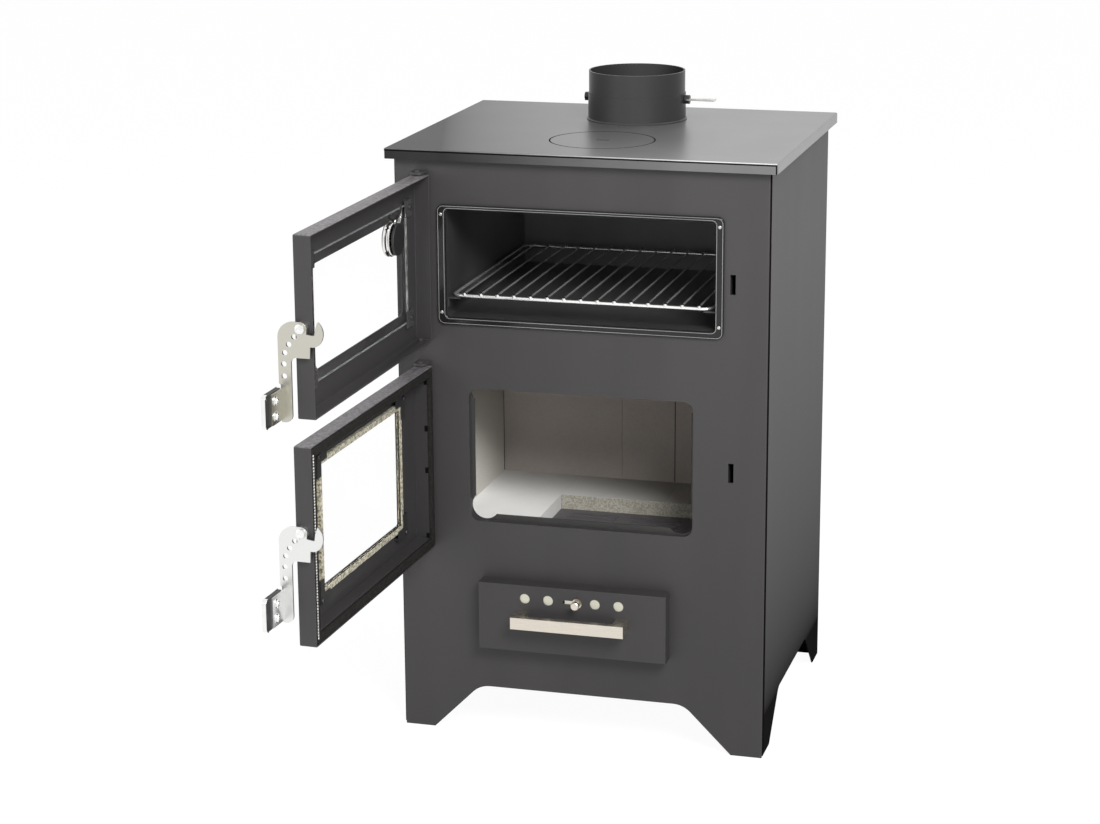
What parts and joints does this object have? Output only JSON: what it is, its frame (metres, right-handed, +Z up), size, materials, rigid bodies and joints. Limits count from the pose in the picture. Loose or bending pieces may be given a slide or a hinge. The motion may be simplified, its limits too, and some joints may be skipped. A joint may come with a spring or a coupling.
{
  "type": "wood-burning stove with oven",
  "caption": "Freestanding wood-burning stove with an oven above the firebox, hinged glazed doors with lever latches, an ash drawer, a lift-out cooking lid and a flue damper.",
  "frame": {"origin": "on the floor, under the middle of the whole footprint with both doors standing open", "axes": "+Z up, +X to the right of someone facing the stove, +Y from the doors to the back"},
  "size_m": [0.47, 0.821, 0.785],
  "materials": {
    "body_enamel": "satin textured anthracite enamel",
    "hob_enamel": "satin anthracite enamel",
    "flue_enamel": "satin anthracite enamel",
    "oven_enamel": "gloss black enamel",
    "inner_steel": "matt heat-proof paint",
    "firebrick": "dry pressed vermiculite, uncoated",
    "cast_iron": "as cast",
    "clear_glass": "clear heat-proof glass",
    "chrome": "bright chrome",
    "stainless": "brushed stainless steel",
    "nickel": "brushed nickel",
    "zinc_steel": "zinc-plated steel",
    "clip_steel": "satin black",
    "glass_tape": "woven glass-fibre tape",
    "rope": "woven glass-fibre rope",
    "black_plastic": "matt black heat-proof plastic"
  },
  "bodies": {
    "stove": {"front_panel": "body_enamel", "left_side_panel": "body_enamel", "right_side_panel": "body_enamel", "back_panel": "body_enamel", "base_plate": "inner_steel", "hob_plate": "hob_enamel", "hob_seat_ring": "inner_steel", "flue_collar": "flue_enamel", "oven_liner": "oven_enamel", "oven_rim": "oven_enamel", "rack_runners": "oven_enamel", "inner_shell": "inner_steel", "firebox_frame": "inner_steel", "hearth_deck": "inner_steel", "grate": "cast_iron", "floor_firebricks": "firebrick", "left_firebrick": "firebrick", "right_firebrick": "firebrick", "back_firebricks": "firebrick", "brick_back_plate": "inner_steel", "baffle": "firebrick", "drawer_guides": "inner_steel", "oven_hinge_lugs": "body_enamel", "fire_hinge_lugs": "body_enamel", "hinge_pins": "zinc_steel", "hinge_washers": "zinc_steel"},
    "oven_door": {"oven_door_frame": "body_enamel", "oven_glass": "clear_glass", "oven_glass_clips": "clip_steel", "thermometer_case": "chrome", "thermometer_back": "black_plastic", "oven_latch_screw": "zinc_steel"},
    "oven_latch": {"oven_latch_lever": "stainless", "oven_grip_pad": "black_plastic", "oven_grip_cover": "chrome"},
    "fire_door": {"fire_door_frame": "body_enamel", "fire_glass": "clear_glass", "fire_glass_tape": "glass_tape", "fire_glass_clips": "clip_steel", "rope_channel": "body_enamel", "rope_seal": "rope", "fire_latch_screw": "zinc_steel"},
    "fire_latch": {"fire_latch_lever": "stainless", "fire_grip_pad": "black_plastic", "fire_grip_cover": "chrome"},
    "ash_drawer": {"drawer_front": "body_enamel", "ash_tray": "inner_steel", "drawer_handle": "nickel"},
    "air_slider": {"air_slider": "zinc_steel", "air_knob": "nickel"},
    "hob_lid": {"hob_lid": "hob_enamel"},
    "damper": {"damper_shaft": "zinc_steel", "damper_disc": "flue_enamel", "damper_handle": "zinc_steel", "damper_nut": "zinc_steel"},
    "oven_rack": {"oven_rack": "chrome"}
  },
  "joints": [
    {"name": "oven_door_hinge", "type": "hinge", "parent": "stove", "child": "oven_door", "pos_m": [-0.1925, 0.0095, 0.5945], "axis": [0, 0, -1], "range_deg": [-91, 75]},
    {"name": "fire_door_hinge", "type": "hinge", "parent": "stove", "child": "fire_door", "pos_m": [-0.1925, 0.0095, 0.351], "axis": [0, 0, -1], "range_deg": [-92, 74]},
    {"name": "oven_latch_pivot", "type": "hinge", "parent": "oven_door", "child": "oven_latch", "pos_m": [-0.19786, -0.36621, 0.5953], "axis": [0.0175, 0.9998, 0], "range_deg": [0, 75]},
    {"name": "fire_latch_pivot", "type": "hinge", "parent": "fire_door", "child": "fire_latch", "pos_m": [-0.20441, -0.36606, 0.3693], "axis": [0.0349, 0.9994, 0], "range_deg": [0, 75]},
    {"name": "ash_drawer_slide", "type": "slide", "parent": "stove", "child": "ash_drawer", "axis": [0, -1, 0], "range_m": [0, 0.22]},
    {"name": "air_slider_slide", "type": "slide", "parent": "ash_drawer", "child": "air_slider", "axis": [-1, 0, 0], "range_m": [0, 0.01455]},
    {"name": "hob_lid_lift", "type": "slide", "parent": "stove", "child": "hob_lid", "axis": [0, 0, 1], "range_m": [0, 0.15]},
    {"name": "damper_turn", "type": "hinge", "parent": "stove", "child": "damper", "pos_m": [0, 0.303, 0.75], "axis": [1, 0, 0], "range_deg": [0, 90]},
    {"name": "oven_rack_slide", "type": "slide", "parent": "stove", "child": "oven_rack", "axis": [0, -1, 0], "range_m": [0, 0.22]}
  ]
}
